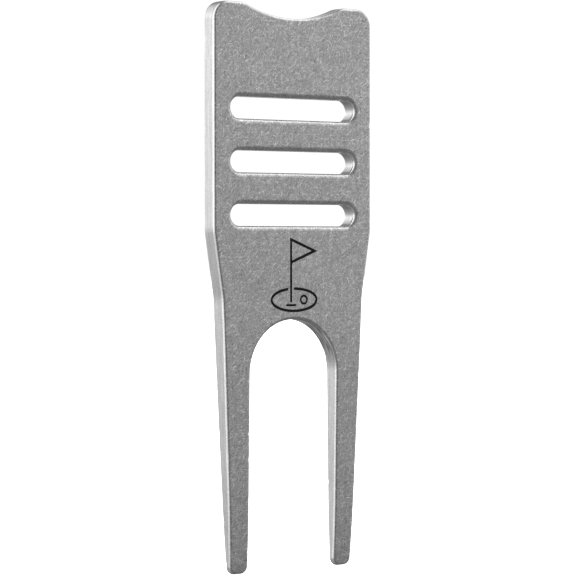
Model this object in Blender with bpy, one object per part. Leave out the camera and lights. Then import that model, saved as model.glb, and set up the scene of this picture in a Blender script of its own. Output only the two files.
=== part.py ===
"""Golf divot repair tool: one flat metal plate, stood on its two prongs.

X runs across the plate, Y through it (the marked face looks towards -Y) and Z up its length, in
metres. The origin is on the middle plane, level with the tips and midway between the prongs.

The plate is profiled from sheet. Its top edge is scooped for the thumb, three long slots cross
the grip, the sides draw in at a waist, and two prongs leave a round-ended gap. Every edge is
rounded over by tumbling, and both faces fall away towards thin tips. A small golf pictogram is
engraved below the slots, each line of it filled with its own piece of black enamel.
"""

import math

import bmesh
import bpy

MM = 0.001

# Plate
LENGTH = 89.15 * MM
WIDTH = 30.95 * MM
THICKNESS = 2.9 * MM
EDGE_RADIUS = 0.53 * MM
TOP_CORNER_RADIUS = 2.85 * MM

# Thumb scoop in the top edge
SCOOP_DEPTH = 2.17 * MM
SCOOP_RADIUS = 22.4 * MM
SCOOP_SHOULDER_RADIUS = 3.9 * MM

# Sides, from the grip down to the tips
GRIP_END_Z = 53.6 * MM
GRIP_END_RADIUS = 9.5 * MM
WAIST_Z = 43.1 * MM
WAIST_HALF_WIDTH = 13.81 * MM
WAIST_RADIUS = 16.0 * MM
TIP_OUTER_X = 11.92 * MM
TIP_RADIUS = 1.25 * MM

# Gap between the prongs
GAP_HALF_WIDTH = 8.32 * MM
GAP_TOP_Z = 39.6 * MM

# Slots
SLOT_COUNT = 3
SLOT_LENGTH = 24.0 * MM
SLOT_HEIGHT = 3.42 * MM
TOP_SLOT_Z = 72.72 * MM
SLOT_PITCH = 8.345 * MM

# How the faces draw in towards the tips: a gentle slope that begins softly, then a tip blend
FACE_SLOPE = 0.0167
SLOPE_START_Z = 39.3 * MM
SLOPE_FULL_Z = 32.3 * MM
TIP_BLEND_Z = 12.4 * MM
TIP_BLEND_DEPTH = 0.3 * MM
SLICE_STEP = 1.75 * MM
TIP_ROUNDNESS = 0.9

# Pictogram, placed from the middle of the green
GREEN_Z = 42.7 * MM
GREEN_RADII = (4.4 * MM, 1.75 * MM)
GREEN_STEPS = 72
LINE_WIDTH = 0.42 * MM
FINE_LINE_WIDTH = 0.34 * MM
LINE_SPACE = 0.3 * MM
POLE_X = -0.6 * MM
POLE_FOOT_Z = 42.3 * MM
POLE_TOP_Z = 52.2 * MM
FLAG_LENGTH = 4.6 * MM
FLAG_HEIGHT = 3.6 * MM
CUP_Z = 41.85 * MM
CUP_WIDTH = 1.7 * MM
BALL_X = 1.9 * MM
BALL_RADIUS = 0.62 * MM
ENGRAVING_DEPTH = 0.25 * MM
ENAMEL_GAP = 0.02 * MM

# How closely short straight edges follow the curves
CURVE_TOLERANCE = 0.01 * MM
LINE_TOLERANCE = 0.004 * MM
EDGE_SEGMENTS = 4
WELD_DISTANCE = 0.001 * MM

METAL_COLOUR = (0.46, 0.46, 0.46, 1.0)
ENAMEL_COLOUR = (0.012, 0.012, 0.012, 1.0)


# Outlines are closed loops of (x, z) points that run anticlockwise as the marked face is seen.


def arc(centre, radius, start, turn, tolerance):
    """Points along an arc, its two ends included. Angles are in radians, anticlockwise positive."""
    steps = max(2, math.ceil(abs(turn) / (2 * math.acos(1 - tolerance / radius))))
    angles = [start + turn * i / steps for i in range(steps + 1)]
    return [(centre[0] + radius * math.cos(a), centre[1] + radius * math.sin(a)) for a in angles]


def without_repeats(loop):
    return [p for p, q in zip(loop, loop[1:] + loop[:1]) if math.dist(p, q) > WELD_DISTANCE]


def rounded(corners):
    """A closed outline from its corners (x, z, radius), each corner replaced by a tangent arc."""
    loop = []
    for i, (x, z, radius) in enumerate(corners):
        before, after = corners[i - 1], corners[(i + 1) % len(corners)]
        heading = math.atan2(z - before[1], x - before[0])
        turn = math.atan2(after[1] - z, after[0] - x) - heading
        turn = (turn + math.pi) % (2 * math.pi) - math.pi
        setback = radius * math.tan(abs(turn) / 2)
        start = (x - setback * math.cos(heading), z - setback * math.sin(heading))
        side = math.copysign(math.pi / 2, turn)
        centre = (
            start[0] + radius * math.cos(heading + side),
            start[1] + radius * math.sin(heading + side),
        )
        loop += arc(centre, radius, heading - side, turn, CURVE_TOLERANCE)
    return without_repeats(loop)


def grown(loop, distance):
    """The loop moved outwards by the distance, or inwards where it is negative."""
    moved = []
    for i, (x, z) in enumerate(loop):
        into = math.atan2(z - loop[i - 1][1], x - loop[i - 1][0])
        out = math.atan2(loop[(i + 1) % len(loop)][1] - z, loop[(i + 1) % len(loop)][0] - x)
        half_turn = ((out - into + math.pi) % (2 * math.pi) - math.pi) / 2
        outwards = into + half_turn - math.pi / 2
        reach = distance / math.cos(half_turn)
        moved.append((x + reach * math.cos(outwards), z + reach * math.sin(outwards)))
    return moved


def hole(loop):
    """A loop turned round, which is how an opening inside another loop runs."""
    return loop[::-1]


def ribbon(path, width):
    """The outline of a line of even width with round ends, drawn along a path of points."""
    radius = width / 2
    ends = []
    for last, previous in ((path[-1], path[-2]), (path[0], path[1])):
        heading = math.atan2(last[1] - previous[1], last[0] - previous[0])
        ends.append(arc(last, radius, heading - math.pi / 2, math.pi, LINE_TOLERANCE))
    there_and_back = grown(path + path[-2:0:-1], radius)
    return ends[0] + there_and_back[len(path):] + ends[1] + there_and_back[1:len(path) - 1]


def plate_outline():
    """The outer edge: the right half from the scoop down to the gap, and the same mirrored."""
    slope = math.acos(1 - SCOOP_DEPTH / (SCOOP_RADIUS + SCOOP_SHOULDER_RADIUS))
    side = SCOOP_RADIUS * math.tan(slope) + SCOOP_SHOULDER_RADIUS * math.tan(slope / 2)
    shoulder_x = side * math.cos(slope)
    scoop_corner = (0.0, LENGTH - side * math.sin(slope), SCOOP_RADIUS)
    right = [
        (GAP_HALF_WIDTH, GAP_TOP_Z, GAP_HALF_WIDTH),
        (GAP_HALF_WIDTH, 0.0, TIP_RADIUS),
        (TIP_OUTER_X, 0.0, TIP_RADIUS),
        (WAIST_HALF_WIDTH, WAIST_Z, WAIST_RADIUS),
        (WIDTH / 2, GRIP_END_Z, GRIP_END_RADIUS),
        (WIDTH / 2, LENGTH, TOP_CORNER_RADIUS),
        (shoulder_x, LENGTH, SCOOP_SHOULDER_RADIUS),
    ]
    left = [(-x, z, radius) for x, z, radius in reversed(right)]
    return rounded(right + [scoop_corner] + left)


def slot_outline(z):
    radius = SLOT_HEIGHT / 2
    reach = SLOT_LENGTH / 2 - radius
    right = arc((reach, z), radius, -math.pi / 2, math.pi, CURVE_TOLERANCE)
    left = arc((-reach, z), radius, math.pi / 2, math.pi, CURVE_TOLERANCE)
    return right + left


def flagstick_loops():
    """Pole and pennant in one outline, with the inside of the pennant left open."""
    half = LINE_WIDTH / 2
    tip = (POLE_X + FLAG_LENGTH, POLE_TOP_Z - FLAG_HEIGHT / 2)
    pennant = [(POLE_X, POLE_TOP_Z), (POLE_X, POLE_TOP_Z - FLAG_HEIGHT), tip]
    top, under, point = grown(pennant, half)
    share = 2 * half / (point[0] - under[0])
    root = (POLE_X + half, under[1] + share * (point[1] - under[1]))
    foot = arc((POLE_X, POLE_FOOT_Z + half), half, math.pi, math.pi, LINE_TOLERANCE)
    return [foot + [root, point, top], hole(grown(pennant, -half))]


def green_loops():
    """The edge of the green, an ellipse that stops short of the pole on both sides."""
    across, up = GREEN_RADII
    reach = LINE_WIDTH + LINE_SPACE
    start = math.acos((POLE_X - reach) / across)
    end = math.acos((POLE_X + reach) / across) + 2 * math.pi
    angles = [start + (end - start) * i / GREEN_STEPS for i in range(GREEN_STEPS + 1)]
    path = [(across * math.cos(a), GREEN_Z + up * math.sin(a)) for a in angles]
    return [ribbon(path, LINE_WIDTH)]


def cup_loops():
    half = CUP_WIDTH / 2
    return [ribbon([(POLE_X - half, CUP_Z), (POLE_X + half, CUP_Z)], FINE_LINE_WIDTH)]


def ball_loops():
    centre = (BALL_X, GREEN_Z)
    inner, outer = (
        arc(centre, BALL_RADIUS + side * FINE_LINE_WIDTH / 2, 0, 2 * math.pi, LINE_TOLERANCE)[:-1]
        for side in (-1, 1)
    )
    return [outer, hole(inner)]


def collection_in_scene(name):
    made = bpy.data.collections.new(name)
    bpy.context.scene.collection.children.link(made)
    return made


def upright_solid(name, loops, front_y, back_y, collection, edge_radius=0.0):
    """A mesh object with the loops' outline, reaching from front_y to back_y."""
    curve = bpy.data.curves.new(name, "CURVE")
    curve.dimensions = "2D"
    curve.fill_mode = "BOTH"
    curve.extrude = (back_y - front_y) / 2 - edge_radius
    curve.bevel_depth = edge_radius
    curve.bevel_resolution = EDGE_SEGMENTS - 1
    curve.offset = -edge_radius
    for loop in loops:
        spline = curve.splines.new("POLY")
        spline.points.add(len(loop) - 1)
        for point, (x, z) in zip(spline.points, loop):
            point.co = (x, z, 0.0, 1.0)
        spline.use_cyclic_u = True
    drawn = bpy.data.objects.new(name + "_outline", curve)
    drawn.location.y = (front_y + back_y) / 2
    drawn.rotation_euler.x = math.pi / 2
    collection.objects.link(drawn)
    bpy.context.view_layer.update()

    graph = bpy.context.evaluated_depsgraph_get()
    mesh = bpy.data.meshes.new_from_object(drawn.evaluated_get(graph))
    mesh.transform(drawn.matrix_world)
    bpy.data.objects.remove(drawn)
    mesh.name = name
    body = bmesh.new()
    body.from_mesh(mesh)
    bmesh.ops.remove_doubles(body, verts=body.verts, dist=WELD_DISTANCE)
    bmesh.ops.recalc_face_normals(body, faces=body.faces)
    body.to_mesh(mesh)
    body.free()
    solid = bpy.data.objects.new(name, mesh)
    collection.objects.link(solid)
    return solid


def material(name, colour, metallic, roughness):
    made = bpy.data.materials.new(name)
    made.use_nodes = True
    shader = made.node_tree.nodes["Principled BSDF"]
    shader.inputs["Base Color"].default_value = colour
    shader.inputs["Metallic"].default_value = metallic
    shader.inputs["Roughness"].default_value = roughness
    made.diffuse_color = colour
    return made


def face_fall(z):
    """How far each face of the plate lies below its full height, this far above the tips."""
    blend = SLOPE_START_Z - SLOPE_FULL_Z
    into_blend = min(max(SLOPE_START_Z - z, 0.0), blend)
    past_blend = max(SLOPE_FULL_Z - z, 0.0)
    into_tip = max(TIP_BLEND_Z - z, 0.0) / TIP_BLEND_Z
    slope = FACE_SLOPE * (into_blend**2 / (2 * blend) + past_blend)
    return slope + TIP_BLEND_DEPTH * into_tip**2


def taper_prongs(plate):
    """Slices the prongs across and draws both faces in, with an edge rounding that still fits."""
    body = bmesh.new()
    body.from_mesh(plate.data)
    for i in range(1, math.ceil(SLOPE_START_Z / SLICE_STEP)):
        geometry = body.verts[:] + body.edges[:] + body.faces[:]
        level = (0.0, 0.0, SLOPE_START_Z - i * SLICE_STEP)
        bmesh.ops.bisect_plane(body, geom=geometry, plane_co=level, plane_no=(0, 0, 1))
    for vert in body.verts:
        half = THICKNESS / 2 - face_fall(vert.co.z)
        rounding = min(1.0, TIP_ROUNDNESS * half / EDGE_RADIUS)
        below_face = THICKNESS / 2 - abs(vert.co.y)
        vert.co.y = math.copysign(half - below_face * rounding, vert.co.y)
    body.to_mesh(plate.data)
    body.free()


def engrave(plate, name, loops, tool, cutters, enamel):
    """Cuts the loops into the marked face and fills the cut with its own piece of enamel."""
    face_y = -THICKNESS / 2
    floor_y = face_y + ENGRAVING_DEPTH
    cutter = upright_solid(name + "_cut", loops, face_y - ENGRAVING_DEPTH, floor_y, cutters)
    cutter.hide_render = True
    cutter.display_type = "WIRE"
    cut = plate.modifiers.new(name, "BOOLEAN")
    cut.operation = "DIFFERENCE"
    cut.solver = "EXACT"
    cut.object = cutter
    inset = [grown(loop, -ENAMEL_GAP) for loop in loops]
    fill = upright_solid(name + "_enamel", inset, face_y + ENAMEL_GAP, floor_y - ENAMEL_GAP, tool)
    fill.data.materials.append(enamel)
    return fill


def build():
    for old in list(bpy.data.objects):
        bpy.data.objects.remove(old)
    tool = collection_in_scene("divot_repair_tool")
    cutters = collection_in_scene("cutters")
    metal = material("tumbled_steel", METAL_COLOUR, metallic=1.0, roughness=0.42)
    enamel = material("black_enamel", ENAMEL_COLOUR, metallic=0.0, roughness=0.5)

    slots = [slot_outline(TOP_SLOT_Z - i * SLOT_PITCH) for i in range(SLOT_COUNT)]
    loops = [plate_outline()] + [hole(slot) for slot in slots]
    half = THICKNESS / 2
    plate = upright_solid("plate", loops, -half, half, tool, EDGE_RADIUS)
    plate.data.materials.append(metal)
    taper_prongs(plate)

    marks = {
        "flagstick": flagstick_loops(),
        "green": green_loops(),
        "cup": cup_loops(),
        "ball": ball_loops(),
    }
    parts = [plate]
    for name, mark in marks.items():
        parts.append(engrave(plate, name, mark, tool, cutters, enamel))

    base = bpy.data.objects.new("divot_repair_tool", None)
    tool.objects.link(base)
    for part in parts:
        part.parent = base


build()
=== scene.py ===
# Looks of the golf divot repair tool: tumbled steel, black enamel, and a plain white studio.
#
# Lengths are in millimetres unless a name says otherwise; the frame itself is in metres. X runs
# across the plate, Y through it (the marked face looks towards -Y) and Z up its length from the tips.

import math
import random

import bpy
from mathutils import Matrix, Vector, noise
from mathutils.geometry import delaunay_2d_cdt


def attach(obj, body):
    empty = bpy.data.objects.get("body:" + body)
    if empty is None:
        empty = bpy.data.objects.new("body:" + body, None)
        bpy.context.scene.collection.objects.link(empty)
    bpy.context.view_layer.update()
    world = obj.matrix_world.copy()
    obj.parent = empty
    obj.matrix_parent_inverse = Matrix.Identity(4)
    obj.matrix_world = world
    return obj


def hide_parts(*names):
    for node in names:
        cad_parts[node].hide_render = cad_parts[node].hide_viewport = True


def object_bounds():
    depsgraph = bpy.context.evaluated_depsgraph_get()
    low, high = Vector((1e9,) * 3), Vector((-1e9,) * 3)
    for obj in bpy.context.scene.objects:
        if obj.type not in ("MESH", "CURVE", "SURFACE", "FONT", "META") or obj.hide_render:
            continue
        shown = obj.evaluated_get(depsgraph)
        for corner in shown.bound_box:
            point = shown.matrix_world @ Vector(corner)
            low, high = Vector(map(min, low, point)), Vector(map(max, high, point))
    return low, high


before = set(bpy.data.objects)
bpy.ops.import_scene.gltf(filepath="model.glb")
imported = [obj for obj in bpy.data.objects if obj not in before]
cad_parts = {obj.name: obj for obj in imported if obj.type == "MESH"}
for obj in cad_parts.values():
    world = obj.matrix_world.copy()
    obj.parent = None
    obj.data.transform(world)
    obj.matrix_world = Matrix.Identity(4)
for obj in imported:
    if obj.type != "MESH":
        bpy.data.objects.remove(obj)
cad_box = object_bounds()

MM = 0.001
FRONT = -1
BACK = 1

# Plate: its overall size is the frame's, and the rest is as in the CAD
WIDTH, THICKNESS, LENGTH = (round((high - low) / MM, 3) for low, high in zip(*cad_box))
EDGE_RADIUS = 0.53
TOP_CORNER_RADIUS = 2.85
SCOOP_DEPTH = 2.17
SCOOP_RADIUS = 22.4
SCOOP_SHOULDER_RADIUS = 3.9
GRIP_END_Z = 53.6
GRIP_END_RADIUS = 9.5
WAIST_Z = 43.1
WAIST_HALF_WIDTH = 13.81
WAIST_RADIUS = 16.0
TIP_OUTER_X = 11.92
TIP_RADIUS = 1.25
GAP_HALF_WIDTH = 8.32
GAP_TOP_Z = 39.6
SLOT_COUNT = 3
SLOT_LENGTH = 24.0
SLOT_HEIGHT = 3.42
SLOT_FRONT_RADIUS = 0.78
SLOT_FRONT_DEPTH = 0.6
SLOT_BACK_RADIUS = 0.64
TOP_SLOT_Z = 72.72
SLOT_PITCH = 8.345
FACE_SLOPE = 0.0167
SLOPE_START_Z = 39.3
SLOPE_FULL_Z = 32.3
TIP_BLEND_Z = 12.4
TIP_BLEND_DEPTH = 0.3
TIP_ROUNDNESS = 0.9

# Pictogram, as in the CAD
GREEN_Z = 42.7
GREEN_RADII = (4.4, 1.75)
GREEN_STEPS = 120
LINE_WIDTH = 0.42
FINE_LINE_WIDTH = 0.34
LINE_SPACE = 0.3
POLE_X = -0.6
POLE_FOOT_Z = 42.3
POLE_TOP_Z = 52.2
FLAG_LENGTH = 4.6
FLAG_HEIGHT = 3.6
CUP_Z = 41.85
CUP_WIDTH = 1.7
BALL_X = 1.9
BALL_RADIUS = 0.62
ENGRAVING_DEPTH = 0.25
LIP_RADIUS = 0.035

# How fine the meshes are
CURVE_TOLERANCE = 0.002
OUTLINE_STEP = 0.25
FACE_STEP = 0.7
FILLET_STEPS = 10
LIP_STEPS = 3
SAME_POINT = 1e-4
SLOPE_STEP = 0.05
GRID_CLEARANCE = 0.6
CDT_INSIDE = 1
CDT_TOLERANCE = 1e-7

# How unevenly tumbling rounds the edges
EDGE_VARIATION = 0.07
EDGE_WAVELENGTH = 2.4
NICK_SPACING = 9.0
NICK_DEPTH = (0.05, 0.16)
NICK_LENGTH = (0.15, 0.45)
NICK_REACH = 3
# Fractal noise: how far its place is drawn from, then its dimension, lacunarity and octaves
NOISE_REACH = 100
EDGE_NOISE = (1.0, 2.0, 3)
SEED = 7


# Outlines are closed loops of (x, z) points that run anticlockwise as the marked face is seen, so
# the metal lies on the left of each outer loop and openings are turned round.


def arc(centre, radius, start, turn):
    steps = max(2, math.ceil(abs(turn) / (2 * math.acos(1 - CURVE_TOLERANCE / radius))))
    angles = [start + turn * i / steps for i in range(steps + 1)]
    return [(centre[0] + radius * math.cos(a), centre[1] + radius * math.sin(a)) for a in angles]


def without_repeats(loop):
    return [p for p, q in zip(loop, loop[1:] + loop[:1]) if math.dist(p, q) > SAME_POINT]


def rounded(corners):
    """A closed outline from its corners (x, z, radius), each corner replaced by a tangent arc."""
    loop = []
    for i, (x, z, radius) in enumerate(corners):
        before, after = corners[i - 1], corners[(i + 1) % len(corners)]
        heading = math.atan2(z - before[1], x - before[0])
        turn = math.atan2(after[1] - z, after[0] - x) - heading
        turn = (turn + math.pi) % (2 * math.pi) - math.pi
        setback = radius * math.tan(abs(turn) / 2)
        start = (x - setback * math.cos(heading), z - setback * math.sin(heading))
        side = math.copysign(math.pi / 2, turn)
        centre = (
            start[0] + radius * math.cos(heading + side),
            start[1] + radius * math.sin(heading + side),
        )
        loop += arc(centre, radius, heading - side, turn)
    return without_repeats(loop)


def outward_normals(loop):
    """The unit normal at each point, away from the metal."""
    normals = []
    for i, (x, z) in enumerate(loop):
        before, after = loop[i - 1], loop[(i + 1) % len(loop)]
        into = Vector((x - before[0], z - before[1])).normalized()
        out = Vector((after[0] - x, after[1] - z)).normalized()
        along = into + out
        normals.append(Vector((along.y, -along.x)).normalized())
    return normals


def grown(loop, distance):
    """The loop moved outwards by the distance, or inwards where it is negative."""
    moved = []
    for i, (x, z) in enumerate(loop):
        into = math.atan2(z - loop[i - 1][1], x - loop[i - 1][0])
        out = math.atan2(loop[(i + 1) % len(loop)][1] - z, loop[(i + 1) % len(loop)][0] - x)
        half_turn = ((out - into + math.pi) % (2 * math.pi) - math.pi) / 2
        outwards = into + half_turn - math.pi / 2
        reach = distance / math.cos(half_turn)
        moved.append((x + reach * math.cos(outwards), z + reach * math.sin(outwards)))
    return moved


def subdivided(loop, step):
    """The loop with points added so that none of its edges is longer than the step."""
    fine = []
    for (x, z), (nx, nz) in zip(loop, loop[1:] + loop[:1]):
        pieces = max(1, math.ceil(math.dist((x, z), (nx, nz)) / step))
        fine += [(x + (nx - x) * i / pieces, z + (nz - z) * i / pieces) for i in range(pieces)]
    return fine


def hole(loop):
    return loop[::-1]


def ribbon(path, width):
    """The outline of a line of even width with round ends, drawn along a path of points."""
    radius = width / 2
    ends = []
    for last, previous in ((path[-1], path[-2]), (path[0], path[1])):
        heading = math.atan2(last[1] - previous[1], last[0] - previous[0])
        ends.append(arc(last, radius, heading - math.pi / 2, math.pi))
    there_and_back = grown(path + path[-2:0:-1], radius)
    return ends[0] + there_and_back[len(path):] + ends[1] + there_and_back[1:len(path) - 1]


def plate_outline():
    slope = math.acos(1 - SCOOP_DEPTH / (SCOOP_RADIUS + SCOOP_SHOULDER_RADIUS))
    side = SCOOP_RADIUS * math.tan(slope) + SCOOP_SHOULDER_RADIUS * math.tan(slope / 2)
    shoulder_x = side * math.cos(slope)
    scoop_corner = (0.0, LENGTH - side * math.sin(slope), SCOOP_RADIUS)
    right = [
        (GAP_HALF_WIDTH, GAP_TOP_Z, GAP_HALF_WIDTH),
        (GAP_HALF_WIDTH, 0.0, TIP_RADIUS),
        (TIP_OUTER_X, 0.0, TIP_RADIUS),
        (WAIST_HALF_WIDTH, WAIST_Z, WAIST_RADIUS),
        (WIDTH / 2, GRIP_END_Z, GRIP_END_RADIUS),
        (WIDTH / 2, LENGTH, TOP_CORNER_RADIUS),
        (shoulder_x, LENGTH, SCOOP_SHOULDER_RADIUS),
    ]
    left = [(-x, z, radius) for x, z, radius in reversed(right)]
    return rounded(right + [scoop_corner] + left)


def slot_outline(z):
    radius = SLOT_HEIGHT / 2
    reach = SLOT_LENGTH / 2 - radius
    right = arc((reach, z), radius, -math.pi / 2, math.pi)
    left = arc((-reach, z), radius, math.pi / 2, math.pi)
    return right + left


def flagstick_loops():
    half = LINE_WIDTH / 2
    tip = (POLE_X + FLAG_LENGTH, POLE_TOP_Z - FLAG_HEIGHT / 2)
    pennant = [(POLE_X, POLE_TOP_Z), (POLE_X, POLE_TOP_Z - FLAG_HEIGHT), tip]
    top, under, point = grown(pennant, half)
    share = 2 * half / (point[0] - under[0])
    root = (POLE_X + half, under[1] + share * (point[1] - under[1]))
    foot = arc((POLE_X, POLE_FOOT_Z + half), half, math.pi, math.pi)
    return [foot + [root, point, top], hole(grown(pennant, -half))]


def green_loops():
    across, up = GREEN_RADII
    reach = LINE_WIDTH + LINE_SPACE
    start = math.acos((POLE_X - reach) / across)
    end = math.acos((POLE_X + reach) / across) + 2 * math.pi
    angles = [start + (end - start) * i / GREEN_STEPS for i in range(GREEN_STEPS + 1)]
    path = [(across * math.cos(a), GREEN_Z + up * math.sin(a)) for a in angles]
    return [ribbon(path, LINE_WIDTH)]


def cup_loops():
    half = CUP_WIDTH / 2
    return [ribbon([(POLE_X - half, CUP_Z), (POLE_X + half, CUP_Z)], FINE_LINE_WIDTH)]


def ball_loops():
    inner, outer = (
        arc((BALL_X, GREEN_Z), BALL_RADIUS + side * FINE_LINE_WIDTH / 2, 0, 2 * math.pi)[:-1]
        for side in (-1, 1)
    )
    return [outer, hole(inner)]


def face_fall(z):
    """How far each face of the plate lies below its full height, this far above the tips."""
    blend = SLOPE_START_Z - SLOPE_FULL_Z
    into_blend = min(max(SLOPE_START_Z - z, 0.0), blend)
    past_blend = max(SLOPE_FULL_Z - z, 0.0)
    into_tip = max(TIP_BLEND_Z - z, 0.0) / TIP_BLEND_Z
    slope = FACE_SLOPE * (into_blend**2 / (2 * blend) + past_blend)
    return slope + TIP_BLEND_DEPTH * into_tip**2


def half_thickness(z):
    return THICKNESS / 2 - face_fall(z)


def face_normal(z, side):
    """The outward normal of the front or back face, this far above the tips."""
    rise = (half_thickness(z + SLOPE_STEP) - half_thickness(z - SLOPE_STEP)) / (2 * SLOPE_STEP)
    return Vector((0.0, side, -rise)).normalized()


class Skin:
    """Points with their normals, and the faces between them."""

    def __init__(self):
        self.points, self.normals, self.faces = [], [], []

    def add(self, x, y, z, normal):
        self.points.append((x * MM, y * MM, z * MM))
        self.normals.append(normal)
        return len(self.points) - 1

    def wall(self, rings):
        """Quads between closed rings of point numbers, the first ring nearest the front face."""
        for near, far in zip(rings, rings[1:]):
            for i in range(len(near)):
                j = (i + 1) % len(near)
                self.faces.append((near[i], far[i], far[j], near[j]))

    def fill(self, rings, place, flip):
        """Triangles between rings that are already there, with new points in the middle.

        place(x, z) adds one new point and gives its number."""
        rim, numbers, edges, loops = [], [], [], []
        for ring in rings:
            start = len(rim)
            loop = [Vector((self.points[n][0] / MM, self.points[n][2] / MM)) for n in ring]
            edges += [(start + k, start + (k + 1) % len(ring)) for k in range(len(ring))]
            rim += loop
            numbers += ring
            loops.append(loop)
        corners = rim + grid_inside(loops, FACE_STEP)
        made = delaunay_2d_cdt(corners, edges, [], CDT_INSIDE, CDT_TOLERANCE)
        verts, _, faces, origins, _, _ = made
        named = []
        for vert, origin in zip(verts, origins):
            known = [o for o in origin if o < len(rim)]
            named.append(numbers[known[0]] if known else place(vert.x, vert.y))
        for face in faces:
            middle = sum((verts[v] for v in face), Vector((0.0, 0.0))) / len(face)
            if inside(loops, middle):
                order = [named[v] for v in face]
                self.faces.append(tuple(order[::-1] if flip else order))

    def mesh_object(self, name):
        mesh = bpy.data.meshes.new(name)
        mesh.from_pydata(self.points, [], self.faces)
        mesh.validate()
        mesh.shade_smooth()
        mesh.normals_split_custom_set_from_vertices(self.normals)
        made = bpy.data.objects.new(name, mesh)
        bpy.context.scene.collection.objects.link(made)
        return made


def crossings(loop, z):
    """The x of each place where the loop crosses this height."""
    found = []
    for p, q in zip(loop, loop[1:] + loop[:1]):
        if (p.y > z) != (q.y > z):
            found.append(p.x + (z - p.y) / (q.y - p.y) * (q.x - p.x))
    return found


def inside(loops, point):
    return sum(x > point.x for loop in loops for x in crossings(loop, point.y)) % 2 == 1


def grid_inside(loops, step):
    """A staggered grid of points inside the loops, kept clear of their edges."""
    low = min(p.y for loop in loops for p in loop)
    high = max(p.y for loop in loops for p in loop)
    points = []
    for row in range(1, math.ceil((high - low) / step)):
        z = low + row * step
        shift = step / 2 * (row % 2)
        levels = (z - step / 2, z, z + step / 2)
        rows = [sorted(x for loop in loops for x in crossings(loop, level)) for level in levels]
        middle = rows[1]
        for left, right in zip(middle[::2], middle[1::2]):
            first = math.ceil((left + GRID_CLEARANCE * step - shift) / step)
            last = math.floor((right - GRID_CLEARANCE * step - shift) / step)
            for column in range(first, last + 1):
                x = shift + column * step
                if all(sum(c > x for c in r) % 2 == 1 for r in rows):
                    points.append(Vector((x, z)))
    return points


def worn_radii(loop, radius, dice):
    """How much each point of an edge is rounded: it wanders, and small nicks round it more."""
    offset = Vector([dice.uniform(0, NOISE_REACH) for _ in range(3)])
    radii = []
    for x, z in loop:
        place = Vector((x, z, 0.0)) / EDGE_WAVELENGTH + offset
        radii.append(radius * (1 + EDGE_VARIATION * noise.fractal(place, *EDGE_NOISE)))
    length = sum(math.dist(p, q) for p, q in zip(loop, loop[1:] + loop[:1]))
    for _ in range(round(length / NICK_SPACING)):
        at = Vector(dice.choice(loop))
        depth, reach = dice.uniform(*NICK_DEPTH), dice.uniform(*NICK_LENGTH)
        for i, point in enumerate(loop):
            away = (Vector(point) - at).length / reach
            if away < NICK_REACH:
                radii[i] += depth * math.exp(-away * away)
    return radii


def plate_edge(skin, loop, edge_radii, edge_depths, dice):
    """The rounded edge along one loop, from face to face. Returns its first and last rings.

    Each face has its own rounding: how far it reaches across the face, and how deep it goes."""
    normals = outward_normals(loop)
    radii = {side: worn_radii(loop, edge_radii[side], dice) for side in (FRONT, BACK)}
    stretch = {side: edge_depths[side] / edge_radii[side] for side in (FRONT, BACK)}
    quarter = [math.pi / 2 * i / FILLET_STEPS for i in range(FILLET_STEPS + 1)]
    profile = [(FRONT, a) for a in reversed(quarter)] + [(BACK, a) for a in quarter]
    rings = []
    for side, angle in profile:
        ring = []
        for (x, z), out, radius in zip(loop, normals, radii[side]):
            inset = radius * (1 - math.cos(angle))
            px, pz = x - out.x * inset, z - out.y * inset
            half = half_thickness(pz)
            depth_radius = min(radius * stretch[side], TIP_ROUNDNESS * half)
            y = side * (half - depth_radius * (1 - math.sin(angle)))
            sideways = Vector((out.x, 0.0, out.y)) * (math.cos(angle) / radius)
            normal = sideways + face_normal(pz, side) * (math.sin(angle) / depth_radius)
            ring.append(skin.add(px, y, pz, normal.normalized()))
        rings.append(ring)
    skin.wall(rings)
    return rings[0], rings[-1]


def engraved_edge(skin, loop):
    """The lip and wall of an engraved line. Returns the rings on the face and on its floor."""
    normals = outward_normals(loop)
    rings = []
    for step in range(LIP_STEPS, -2, -1):
        angle = math.pi / 2 * max(step, 0) / LIP_STEPS
        ring = []
        for (x, z), out in zip(loop, normals):
            inset = LIP_RADIUS * (1 - math.cos(angle))
            px, pz = x - out.x * inset, z - out.y * inset
            depth = ENGRAVING_DEPTH if step < 0 else LIP_RADIUS * (1 - math.sin(angle))
            sideways = Vector((out.x, 0.0, out.y)) * math.cos(angle)
            normal = sideways + face_normal(pz, FRONT) * math.sin(angle)
            ring.append(skin.add(px, depth - half_thickness(pz), pz, normal.normalized()))
        rings.append(ring)
    skin.wall(rings)
    return rings[0], rings[-1]


def make_plate(marks):
    dice = random.Random(SEED)
    skin = Skin()
    rim_radii = {FRONT: EDGE_RADIUS, BACK: EDGE_RADIUS}
    slot_radii = {FRONT: SLOT_FRONT_RADIUS, BACK: SLOT_BACK_RADIUS}
    slot_depths = {FRONT: SLOT_FRONT_DEPTH, BACK: SLOT_BACK_RADIUS}
    edges = [(plate_outline(), rim_radii, rim_radii)]
    for i in range(SLOT_COUNT):
        edges.append((hole(slot_outline(TOP_SLOT_Z - i * SLOT_PITCH)), slot_radii, slot_depths))
    front, back = [], []
    for loop, radii, depths in edges:
        loop = subdivided(without_repeats(loop), OUTLINE_STEP)
        near, far = plate_edge(skin, loop, radii, depths, dice)
        front.append(near)
        back.append(far)
    for loops in marks:
        floors = []
        for loop in loops:
            lip, floor = engraved_edge(skin, subdivided(hole(loop), OUTLINE_STEP))
            front.append(lip)
            floors.append(floor)
        skin.fill(floors, None, flip=False)

    def on_face(side):
        return lambda x, z: skin.add(x, side * half_thickness(z), z, face_normal(z, side))

    skin.fill(front, on_face(FRONT), flip=False)
    skin.fill(back, on_face(BACK), flip=True)
    return skin.mesh_object("tumbled_plate")


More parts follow.
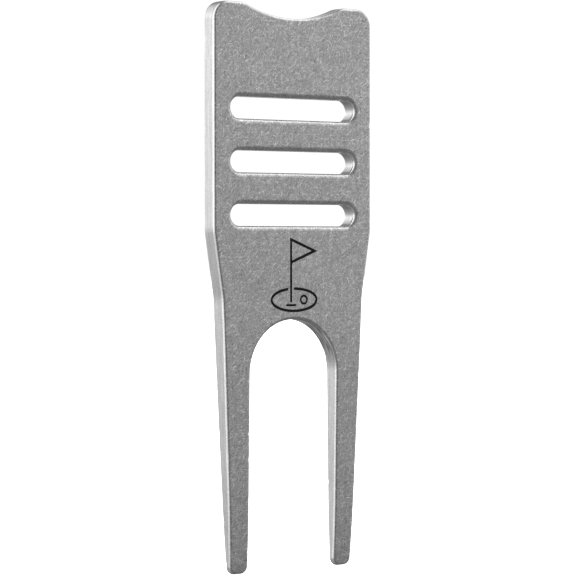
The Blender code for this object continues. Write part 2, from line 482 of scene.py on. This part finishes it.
# Paint in the engraved lines: how deep it lies below the face at its edge and along its middle, and
# how its surface bends down between them
PAINT_CLEARANCE = 0.003
PAINT_EDGE_DEPTH = 0.036
PAINT_MIDDLE_DEPTH = 0.06
PAINT_EDGE_WIDTH = 0.07
PAINT_SAG = 0.4
PAINT_SAG_LEAN = -0.35
PAINT_EDGE_LEAN = -0.2


def make_paint(name, loops):
    """Paint that fills an engraved line to its walls, sunk a little along its middle."""
    skin = Skin()
    tops, floors = [], []
    sag_inset = PAINT_CLEARANCE + PAINT_SAG * PAINT_EDGE_WIDTH
    sag_depth = (1 - PAINT_SAG) * PAINT_EDGE_DEPTH + PAINT_SAG * PAINT_MIDDLE_DEPTH
    rows = (
        (PAINT_EDGE_WIDTH + PAINT_CLEARANCE, PAINT_MIDDLE_DEPTH, 0.0),
        (sag_inset, sag_depth, PAINT_SAG_LEAN),
        (PAINT_CLEARANCE, PAINT_EDGE_DEPTH, PAINT_EDGE_LEAN),
        (PAINT_CLEARANCE, ENGRAVING_DEPTH - PAINT_CLEARANCE, 0.0),
    )
    for loop in loops:
        loop = subdivided(without_repeats(loop), OUTLINE_STEP)
        normals = outward_normals(loop)
        rings = []
        for inset, depth, lean in rows:
            ring = []
            for (x, z), out in zip(loop, normals):
                px, pz = x - out.x * inset, z - out.y * inset
                normal = face_normal(pz, FRONT) + lean * Vector((out.x, 0.0, out.y))
                if depth > PAINT_MIDDLE_DEPTH:
                    normal = Vector((0.0, 1.0, 0.0))
                ring.append(skin.add(px, depth - half_thickness(pz), pz, normal.normalized()))
            rings.append(ring)
        skin.wall(rings)
        tops.append(rings[0])
        floors.append(rings[-1])
    skin.fill(tops, None, flip=False)
    skin.fill(floors, None, flip=True)
    return skin.mesh_object(name)


class Nodes:
    """Adds nodes to one tree. Each call gives the new node's output, ready to link."""

    def __init__(self, tree):
        self.tree = tree

    def add(self, kind, inputs=(), output=0, **settings):
        node = self.tree.nodes.new("ShaderNode" + kind)
        for name, value in settings.items():
            setattr(node, name, value)
        for key, value in dict(inputs).items():
            self.give(node.inputs[key], value)
        return node.outputs[output] if output is not None else node

    def give(self, socket, value):
        if isinstance(value, bpy.types.NodeSocket):
            self.tree.links.new(value, socket)
        else:
            socket.default_value = value

    def math(self, operation, a, b=0.0):
        return self.add("Math", {0: a, 1: b}, operation=operation)

    def vector(self, operation, a, b=(0.0, 0.0, 0.0), output=0):
        inputs = {0: a}
        inputs["Scale" if operation == "SCALE" else 1] = b
        return self.add("VectorMath", inputs, output=output, operation=operation)

    def dot(self, a, b):
        return self.vector("DOT_PRODUCT", a, b, output="Value")

    def ramp(self, value, low, high, start=0.0, end=1.0, smooth=True):
        kind = "SMOOTHSTEP" if smooth else "LINEAR"
        inputs = {"Value": value, "From Min": low, "From Max": high, "To Min": start, "To Max": end}
        return self.add("MapRange", inputs, interpolation_type=kind)

    def mix(self, share, a, b):
        return self.add("Mix", {0: share, 2: a, 3: b}, data_type="FLOAT")


def new_material(name, colour, metallic, roughness):
    made = bpy.data.materials.new(name)
    made.use_nodes = True
    made.diffuse_color = (*colour, 1.0)
    shader = made.node_tree.nodes["Principled BSDF"]
    shader.inputs["Base Color"].default_value = (*colour, 1.0)
    shader.inputs["Metallic"].default_value = metallic
    shader.inputs["Roughness"].default_value = roughness
    return made, shader, Nodes(made.node_tree)


def total(nodes, values):
    added, *others = values
    for value in others:
        added = nodes.math("ADD", added, value)
    return added


def weighted(nodes, values, weights, *others):
    """The sum of each named value times its weight, and of any others."""
    parts = [nodes.math("MULTIPLY", values[name], weight) for name, weight in weights.items()]
    return total(nodes, parts + list(others))


def speckle(nodes, place, scale, detail, roughness):
    inputs = {"Vector": place, "Scale": scale, "Detail": detail, "Roughness": roughness}
    return nodes.add("TexNoise", inputs)


def about_zero(nodes, noise_value):
    """The noise less its middle value, so that it lightens as much as it darkens."""
    return nodes.math("SUBTRACT", noise_value, 0.5)


# Strokes. A cell's chance bows its stroke and sets its strength, and strong strokes are rare.
STROKE_SHIFT = (17.3, 5.9, 11.1)
STROKE_BOW = (1.1, -0.7, 0.9)
STROKE_LUCK = (0.9, 1.3, -1.1)
LUCK_RANGE = 0.9
LUCK_POWER = 3.5
STROKE_FADE = 0.25
STROKE_END = 0.5


def strokes(nodes, place, normal, spacing, width, length, seed):
    """Short bowed strokes in random directions, one in each cell: 1 on a stroke and 0 elsewhere."""
    moved = nodes.vector("ADD", place, tuple(seed * shift for shift in STROKE_SHIFT))
    cell = nodes.add("TexVoronoi", {"Vector": moved, "Scale": 1 / spacing}, output=None)
    away = nodes.vector("SUBTRACT", moved, cell.outputs["Position"])
    chance = nodes.vector("SUBTRACT", cell.outputs["Color"], (0.5, 0.5, 0.5))
    out_of_face = nodes.vector("SCALE", normal, nodes.dot(chance, normal))
    across = nodes.vector("NORMALIZE", nodes.vector("SUBTRACT", chance, out_of_face))
    along = nodes.vector("CROSS_PRODUCT", normal, across)
    run = nodes.dot(away, along)
    bow = nodes.math("MULTIPLY", nodes.dot(chance, STROKE_BOW), nodes.math("POWER", run, 2.0))
    off = nodes.math("ABSOLUTE", nodes.math("ADD", nodes.dot(away, across), bow))
    line = nodes.ramp(off, 0.0, width, 1.0, 0.0)
    reach = nodes.math("ABSOLUTE", run)
    end = nodes.ramp(reach, STROKE_FADE * length, STROKE_END * length, 1.0, 0.0)
    luck = nodes.dot(chance, STROKE_LUCK)
    luck = nodes.ramp(luck, -LUCK_RANGE, LUCK_RANGE, 0.0, 1.0, smooth=False)
    strength = nodes.math("POWER", luck, LUCK_POWER)
    return nodes.math("MULTIPLY", nodes.math("MULTIPLY", line, end), strength)


def stroke_sets(nodes, place, normal, rows, first_seed):
    sets = [strokes(nodes, place, normal, *row, seed) for seed, row in enumerate(rows, first_seed)]
    return total(nodes, sets)


METAL_COLOUR = 0.5
METAL_LEVEL = 0.825
METAL_ROUGHNESS = 0.27
METAL_BUMP = 0.004

# Spacing, width and length of each set of strokes, and the first seed of each kind
# The light strokes are real scratches, but their lighter colour is a painted glint, where the
# scratches would catch the light.
SCRATCH_GLINT_STROKES = (
    (0.45, 0.10, 0.7),
    (0.55, 0.10, 1.0),
    (0.7, 0.10, 1.3),
    (0.9, 0.11, 1.6),
    (0.4, 0.09, 0.6),
    (0.6, 0.10, 0.9),
)
DARK_STROKES = ((0.45, 0.10, 0.8), (0.6, 0.10, 1.1), (0.8, 0.10, 1.4))
DEEP_STROKES = ((1.7, 0.06, 1.8), (2.6, 0.05, 2.6))
SCRATCH_GLINT_SEED = 0
DARK_SEED = 10
DEEP_SEED = 20

# Scale, detail and roughness of each noise, and the stretch of those drawn out along the edges
GRAIN = (3.2, 2.0, 0.6)
MOTTLE = (0.5, 2.0, 0.55)
STREAKS = (1.0, 2.0, 0.6)
STREAK_STRETCH = (0.22, 2.2, 0.22)
MILL_LINES = (1.0, 2.0, 0.5)
MILL_LINE_STRETCH = (0.5, 5.0, 0.5)

# Pits: their scale, and their radius where they are whole and where they have faded
PIT_SCALE = 1.1
PIT_RADII = (0.05, 0.14)

# From a surface that looks sideways to one that looks out of the face: how far it counts as face or
# as side. Each row is two values of the facing, and what it is worth at them.
AS_FACE = (0.7, 0.99, 0.2, 0.92)
AS_SIDE = (0.2, 0.85, 1.0, 0.0)

# Mill lines show only in the arch: out to this far from its middle, and from this far above it
ARCH_MIDDLE = (0.0, 0.0, GAP_TOP_Z - GAP_HALF_WIDTH)
ARCH_REACH = (8.8, 9.2)
ARCH_RISE = (1.0, 4.5)

# How much each detail brightens, roughens or raises the metal. Streaks and mill lines are on the
# sides, and the other details lie on the faces.
# The light scratch strokes brighten the colour as a painted glint; their roughness and height are the
# real scratches.
FACE_BRIGHTNESS = {
    "scratch_glint": 0.55,
    "dark": -0.34,
    "grain": 0.6,
    "mottle": 0.25,
    "deep": -0.10,
    "pit": -0.08,
}
SIDE_BRIGHTNESS = {"streak": 0.45, "mill_line": 3.2}
ROUGHNESS = {"scratch_glint": -0.05, "grain": 0.10, "mottle": 0.08}
HEIGHT = {"scratch_glint": 0.5, "deep": -0.8, "grain": 0.4, "pit": -0.5}


def drawn_out(nodes, place, stretch, look):
    """Noise stretched into lines that run along the edges."""
    return about_zero(nodes, speckle(nodes, nodes.vector("MULTIPLY", place, stretch), *look))


def in_arch(nodes, place):
    """1 on the wall of the arch between the prongs, fading to 0 down the prongs."""
    away = nodes.vector("SUBTRACT", place, ARCH_MIDDLE)
    level = nodes.vector("MULTIPLY", away, (1.0, 0.0, 1.0))
    near = nodes.ramp(nodes.vector("LENGTH", level, output="Value"), *ARCH_REACH, 1.0, 0.0)
    rise = nodes.add("SeparateXYZ", {0: away}, output="Z")
    return nodes.math("MULTIPLY", near, nodes.ramp(rise, *ARCH_RISE))


def tumbled_metal():
    """Steel tumbled with small stones: short strokes every way, some lightened as painted glints,
    small pits and a faint mottle.
    """
    made, shader, nodes = new_material("tumbled_steel", (METAL_COLOUR,) * 3, 1.0, METAL_ROUGHNESS)
    coordinates = nodes.add("TexCoord", output="Object")
    place = nodes.vector("SCALE", coordinates, 1 / MM)
    normal = nodes.add("NewGeometry", output="Normal")
    facing = nodes.math("ABSOLUTE", nodes.add("SeparateXYZ", {0: normal}, output="Y"))
    face = nodes.ramp(facing, *AS_FACE)
    side = nodes.ramp(facing, *AS_SIDE)
    pits = nodes.add("TexVoronoi", {"Vector": place, "Scale": PIT_SCALE}, output="Distance")
    details = {
        # Light scratches: a painted glint in the colour, over real scratches in the bump and
        # roughness.
        "scratch_glint": stroke_sets(nodes, place, normal, SCRATCH_GLINT_STROKES, SCRATCH_GLINT_SEED),
        "dark": stroke_sets(nodes, place, normal, DARK_STROKES, DARK_SEED),
        "deep": stroke_sets(nodes, place, normal, DEEP_STROKES, DEEP_SEED),
        "grain": speckle(nodes, place, *GRAIN),
        "mottle": speckle(nodes, place, *MOTTLE),
        "pit": nodes.ramp(pits, *PIT_RADII, 1.0, 0.0),
    }
    height = nodes.math("MULTIPLY", weighted(nodes, details, HEIGHT), face)

    # Brightness and roughness vary either side of a level, so their noises are taken about zero.
    for name in ("grain", "mottle"):
        details[name] = about_zero(nodes, details[name])
    streaks = drawn_out(nodes, place, STREAK_STRETCH, STREAKS)
    details["streak"] = nodes.math("MULTIPLY", streaks, side)
    mill_lines = nodes.math("MULTIPLY", drawn_out(nodes, place, MILL_LINE_STRETCH, MILL_LINES), side)
    details["mill_line"] = nodes.math("MULTIPLY", mill_lines, in_arch(nodes, place))
    on_face = nodes.math("MULTIPLY", weighted(nodes, details, FACE_BRIGHTNESS), face)
    level = weighted(nodes, details, SIDE_BRIGHTNESS, on_face, METAL_LEVEL)
    shade = nodes.math("MULTIPLY", level, METAL_COLOUR)
    colour = nodes.add("CombineColor", {0: shade, 1: shade, 2: shade})
    rough = weighted(nodes, details, ROUGHNESS, METAL_ROUGHNESS)
    bump = nodes.add("Bump", {"Height": height, "Strength": 1.0, "Distance": METAL_BUMP * MM})
    nodes.give(shader.inputs["Base Color"], colour)
    nodes.give(shader.inputs["Roughness"], rough)
    nodes.give(shader.inputs["Normal"], bump)
    return made


ENAMEL_COLOUR = (0.005, 0.005, 0.005)
ENAMEL_SPECULAR = 0.12
ENAMEL_ROUGHNESS = 0.42
ENAMEL_BUMP = 0.01
ENAMEL_GRAIN = (9.0, 3.0, 0.6)
ENAMEL_GRAIN_RANGE = (0.3, 0.7)
ENAMEL_SHADES = (0.003, 0.009)
ENAMEL_ROUGHNESSES = (0.34, 0.52)


def black_paint():
    """Satin black enamel with a fine, uneven grain."""
    made, shader, nodes = new_material("black_enamel", ENAMEL_COLOUR, 0.0, ENAMEL_ROUGHNESS)
    shader.inputs["Specular IOR Level"].default_value = ENAMEL_SPECULAR
    coordinates = nodes.add("TexCoord", output="Object")
    place = nodes.vector("SCALE", coordinates, 1 / MM)
    grain = speckle(nodes, place, *ENAMEL_GRAIN)
    shade = nodes.ramp(grain, *ENAMEL_GRAIN_RANGE, *ENAMEL_SHADES)
    colour = nodes.add("CombineColor", {0: shade, 1: shade, 2: shade})
    rough = nodes.ramp(grain, *ENAMEL_GRAIN_RANGE, *ENAMEL_ROUGHNESSES)
    bump = nodes.add("Bump", {"Height": grain, "Strength": 1.0, "Distance": ENAMEL_BUMP * MM})
    nodes.give(shader.inputs["Base Color"], colour)
    nodes.give(shader.inputs["Roughness"], rough)
    nodes.give(shader.inputs["Normal"], bump)
    return made


FLOOR_RADIUS = 4000
FLOOR_DROP = 0.2
FLOOR_SIDES = 96
FLOOR_COLOUR = (0.9, 0.9, 0.9)
FLOOR_ROUGHNESS = 0.9


def white_floor():
    made, shader, _ = new_material("white_floor", FLOOR_COLOUR, 0.0, FLOOR_ROUGHNESS)
    shader.inputs["Emission Color"].default_value = (1.0, 1.0, 1.0, 1.0)
    shader.inputs["Emission Strength"].default_value = 1.0
    return made


def add_floor():
    """A plain white floor just under the tips. The metal mirrors the studio room instead of it."""
    bpy.ops.mesh.primitive_circle_add(
        vertices=FLOOR_SIDES,
        radius=FLOOR_RADIUS * MM,
        fill_type="NGON",
        location=(0, 0, -FLOOR_DROP * MM),
    )
    floor = bpy.context.object
    floor.name = "floor"
    floor.data.materials.append(white_floor())
    floor.visible_glossy = False
    floor.visible_diffuse = False


# Camera: its place, its turns in degrees, and its lens and sensor
CAMERA_PLACE = (-248.35, -334.0, 51.08)
CAMERA_YAW = 36.605
CAMERA_PITCH = -0.888
CAMERA_ROLL = 0.04
CAMERA_LENS = 164.92
SENSOR_WIDTH = 36.0
CLIP_METRES = (0.01, 100.0)


def add_camera():
    camera = bpy.data.objects.new("camera", bpy.data.cameras.new("camera"))
    bpy.context.scene.collection.objects.link(camera)
    camera.location = Vector(CAMERA_PLACE) * MM
    turns = (90 + CAMERA_PITCH, CAMERA_ROLL, -CAMERA_YAW)
    camera.rotation_euler = [math.radians(turn) for turn in turns]
    camera.data.sensor_width = SENSOR_WIDTH
    camera.data.lens = CAMERA_LENS
    camera.data.clip_start, camera.data.clip_end = CLIP_METRES
    bpy.context.scene.camera = camera


def heading(azimuth):
    """A level unit vector: azimuth turns from -Y towards +X."""
    angle = math.radians(azimuth)
    return (math.sin(angle), -math.cos(angle), 0.0)


BACKDROP_RADIANCE = 1.05

# The room that the metal mirrors, lit evenly by ROOM_LIGHT and by panels. For each panel: the azimuth
# of its middle, its half width and how softly it ends sideways, the elevations between which it grows
# to full strength, those between which it fades, all in degrees, and its radiance.
ROOM_LIGHT = 0.31
PANELS = {
    "left_softbox": (-69, 31, 5, (-28, 3), (60, 80), 2.2),
    "rear_left_wall": (-140, 48, 14, (-14, 8), (36, 50), 1.03),
    "rear_left_high": (-150, 40, 15, (3, 14), (26, 38), 0.3),
    "rear_left_ceiling": (-140, 40, 20, (42, 54), (80, 90), 0.9),
    "rear_left_corner": (-108, 28, 12, (34, 44), (50, 62), 0.45),
    "left_ground": (-95, 60, 25, (-89, -60), (-40, -14), 0.45),
    "rear_left_ground": (-140, 60, 30, (-32, -12), (14, 34), 0.52),
    "rear_ground": (-160, 60, 30, (-89, -60), (-30, -14), 0.02),
    "top_softbox": (-55, 55, 20, (60, 70), (88, 89), 1.5),
    "front_right_wall": (80, 49, 29, (-24, 20), (54, 70), 0.96),
    "rear_right_wall": (150, 40, 25, (-10, -2), (6, 18), 0.95),
    "overhead_softbox": (92, 56, 18, (26, 50), (55, 71), 1.1),
}


def panel(nodes, toward, azimuth, half_width, softness, rise, fall, radiance):
    """The radiance that one panel adds in each direction."""
    level = nodes.vector("NORMALIZE", nodes.vector("MULTIPLY", toward, (1.0, 1.0, 0.0)))
    turned = nodes.math("ARCCOSINE", nodes.dot(level, heading(azimuth)))
    ends = math.radians(half_width - softness), math.radians(half_width + softness)
    across = nodes.ramp(turned, *ends, 1.0, 0.0)
    height = nodes.add("SeparateXYZ", {0: toward}, output="Z")
    elevation = nodes.math("ARCSINE", height)
    up = nodes.ramp(elevation, *map(math.radians, rise))
    down = nodes.ramp(elevation, *map(math.radians, fall), 1.0, 0.0)
    shape = nodes.math("MULTIPLY", across, nodes.math("MULTIPLY", up, down))
    return nodes.math("MULTIPLY", shape, radiance)


def add_world():
    """White where the camera looks, and a studio room for what the metal mirrors."""
    world = bpy.data.worlds.new("studio")
    world.use_nodes = True
    bpy.context.scene.world = world
    nodes = Nodes(world.node_tree)
    background = world.node_tree.nodes["Background"]
    ray = nodes.add("LightPath", output="Is Camera Ray")
    toward = nodes.vector("NORMALIZE", nodes.add("TexCoord", output="Generated"))
    room = total(nodes, [ROOM_LIGHT] + [panel(nodes, toward, *row) for row in PANELS.values()])
    nodes.give(background.inputs["Strength"], nodes.mix(ray, room, BACKDROP_RADIANCE))
    background.inputs["Color"].default_value = (1.0, 1.0, 1.0, 1.0)


def main():
    marks = {
        "flagstick": flagstick_loops(),
        "green": green_loops(),
        "cup": cup_loops(),
        "ball": ball_loops(),
    }
    plate = make_plate(marks.values())
    plate.data.materials.append(tumbled_metal())
    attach(plate, "root")
    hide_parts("plate")
    paint = black_paint()
    for name, loops in marks.items():
        piece = make_paint(name + "_paint", loops)
        piece.data.materials.append(paint)
        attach(piece, "root")
        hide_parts(name + "_enamel")
    add_floor()
    add_camera()
    add_world()
    bpy.context.scene.view_settings.view_transform = "Standard"


main()
